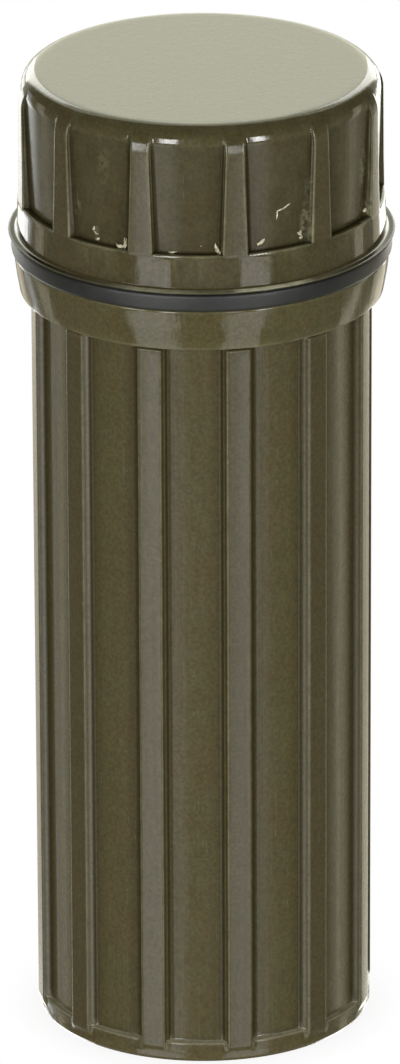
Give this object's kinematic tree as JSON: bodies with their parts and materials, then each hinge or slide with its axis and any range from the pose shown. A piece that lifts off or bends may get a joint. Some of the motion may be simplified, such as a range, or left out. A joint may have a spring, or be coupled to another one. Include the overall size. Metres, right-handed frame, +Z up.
{
  "type": "round waterproof case",
  "caption": "Slim round waterproof case: ribbed plastic container, ribbed screw cap with a thin lip, rubber sealing ring between them, sparking bar under the base.",
  "frame": {"origin": "centre of the face that the case stands on", "axes": "+Z up the case's axis, towards the cap"},
  "size_m": [0.0318, 0.0318, 0.0825],
  "materials": {
    "moulded_plastic": "olive drab, glossy as moulded, fine scuffs",
    "seal_rubber": "matte bluish black",
    "sparking_alloy": "dark grey, oxidised, dull metallic"
  },
  "bodies": {
    "container": {"container": "moulded_plastic", "sparking_bar": "sparking_alloy"},
    "ring": {"sealing_ring": "seal_rubber"},
    "cap": {"screw_cap": "moulded_plastic"}
  },
  "joints": [
    {"name": "cap_rise", "type": "slide", "parent": "container", "child": "ring", "axis": [0, 0, 1], "range_m": [0, 0.0127]},
    {"name": "cap_turn", "type": "hinge", "parent": "ring", "child": "cap", "pos_m": [0, 0, 0.06859], "axis": [0, 0, 1], "range_deg": [0, 1440]}
  ],
  "couplings": [
    {"joint": "cap_rise", "follows": "cap_turn", "m_per_rad": 0.00050532}
  ]
}
